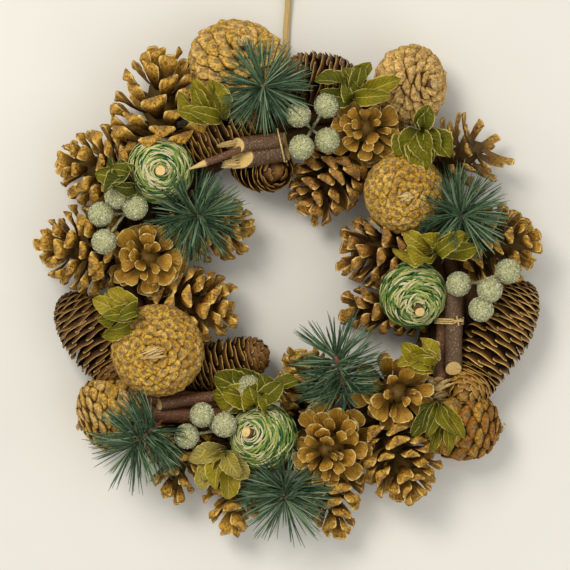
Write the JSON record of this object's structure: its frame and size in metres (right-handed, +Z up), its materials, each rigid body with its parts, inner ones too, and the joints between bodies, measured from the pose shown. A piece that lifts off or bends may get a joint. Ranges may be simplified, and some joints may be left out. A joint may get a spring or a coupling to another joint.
{
  "type": "pine cone wreath",
  "caption": "Round wreath of dried pine and spruce cones, needle sprays, frosted berries, twine balls, bark twigs and dried leaves on a willow ring, with a raffia hanger.",
  "frame": {"origin": "on the surface that the wreath lies on, under the middle of its outline, the hanger left out", "axes": "+Z up out of the wreath's front, +Y from the middle towards the hanger, +X to the right as seen from the front"},
  "size_m": [0.34, 0.3913, 0.0956],
  "materials": {
    "willow": "matte bark",
    "bark": "smooth thin bark with pale cut ends",
    "twine": "green and cream dyed fibre cord",
    "closed_cone": "matte ochre scales with grey umbos",
    "rose_cone": "matte golden scales with pale rims",
    "spruce_cone": "satin thin scales with pale edges",
    "open_cone": "matte scales, ochre ends, dark inside",
    "dark_cone": "matte red-brown scales",
    "frosted_berry": "covered with fine glass beads",
    "dried_leaf": "dry and matte with pale edges",
    "needle": "satin dark blue-green",
    "raffia": "dry straw strands"
  },
  "bodies": {
    "root": {"berries_bottom": "frosted_berry", "berries_left": "frosted_berry", "berries_right": "frosted_berry", "berries_top": "frosted_berry", "closed_cone_bottom_left": "closed_cone", "closed_cone_bottom_right": "closed_cone", "closed_cone_left": "closed_cone", "closed_cone_right": "closed_cone", "closed_cone_top": "closed_cone", "closed_cone_top_right": "closed_cone", "hanger_knot": "raffia", "leaves_bottom": "dried_leaf", "leaves_bottom_left": "dried_leaf", "leaves_bottom_right": "dried_leaf", "leaves_left": "dried_leaf", "leaves_left_upper": "dried_leaf", "leaves_right": "dried_leaf", "leaves_right_low": "dried_leaf", "leaves_right_upper": "dried_leaf", "leaves_top": "dried_leaf", "leaves_top_left": "dried_leaf", "needles_bottom": "needle", "needles_bottom_left": "needle", "needles_inner_bottom": "needle", "needles_left_upper": "needle", "needles_right_upper": "needle", "needles_top": "needle", "open_cone_bottom": "open_cone", "open_cone_bottom_left": "open_cone", "open_cone_bottom_middle": "open_cone", "open_cone_bottom_right": "open_cone", "open_cone_inner_bottom": "open_cone", "open_cone_inner_left": "open_cone", "open_cone_inner_low_right": "dark_cone", "open_cone_inner_right": "dark_cone", "open_cone_inner_top": "dark_cone", "open_cone_inner_upper_left": "open_cone", "open_cone_left": "open_cone", "open_cone_left_upper": "open_cone", "open_cone_right": "open_cone", "open_cone_right_upper": "open_cone", "open_cone_top_left": "open_cone", "raffia_hanger": "raffia", "rose_cone_bottom": "rose_cone", "rose_cone_left": "rose_cone", "rose_cone_right": "rose_cone", "rose_cone_top": "rose_cone", "spruce_cone_inner_bottom": "spruce_cone", "spruce_cone_inner_top": "spruce_cone", "spruce_cone_left": "spruce_cone", "spruce_cone_right": "spruce_cone", "spruce_cone_top": "spruce_cone", "spruce_cone_top_left": "spruce_cone", "twigs_bottom": "bark", "twigs_right": "bark", "twigs_top": "bark", "twine_ball_bottom": "twine", "twine_ball_right": "twine", "twine_ball_top_left": "twine", "willow_ring": "willow"}
  },
  "joints": []
}
